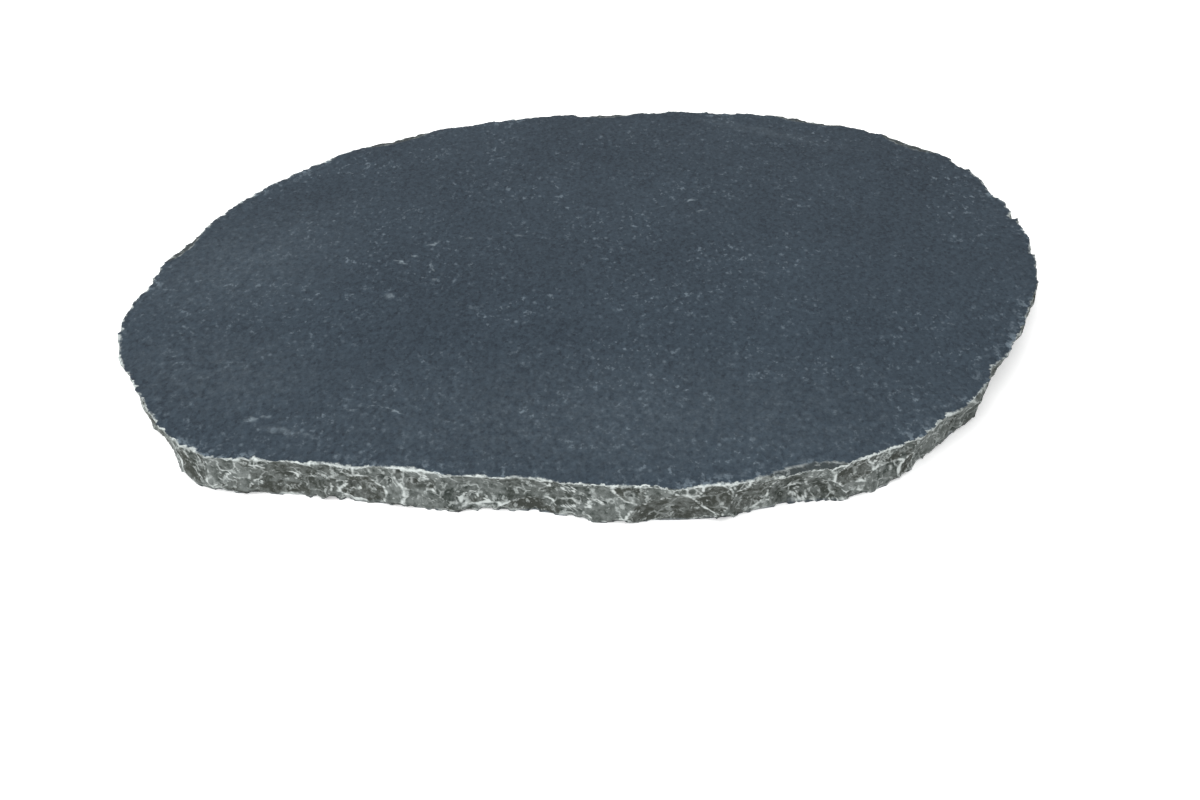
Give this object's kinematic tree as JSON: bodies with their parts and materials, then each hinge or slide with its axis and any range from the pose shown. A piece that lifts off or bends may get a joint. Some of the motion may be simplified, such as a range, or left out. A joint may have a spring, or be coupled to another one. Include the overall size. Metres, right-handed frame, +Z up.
{
  "type": "limestone stepping stone",
  "caption": "Flat irregular garden stepping stone of dark limestone with a hand-chiselled edge, laid on the ground to walk on.",
  "frame": {"origin": "on the bed, under the middle of the stone", "axes": "+X along the length of the stone, +Z up out of its face, -Y towards its straightest side"},
  "size_m": [0.4997, 0.4141, 0.023],
  "materials": {
    "limestone": "matt dark blue-grey face with a paler chiselled edge"
  },
  "bodies": {
    "root": {"stepping_stone": "limestone"}
  },
  "joints": []
}
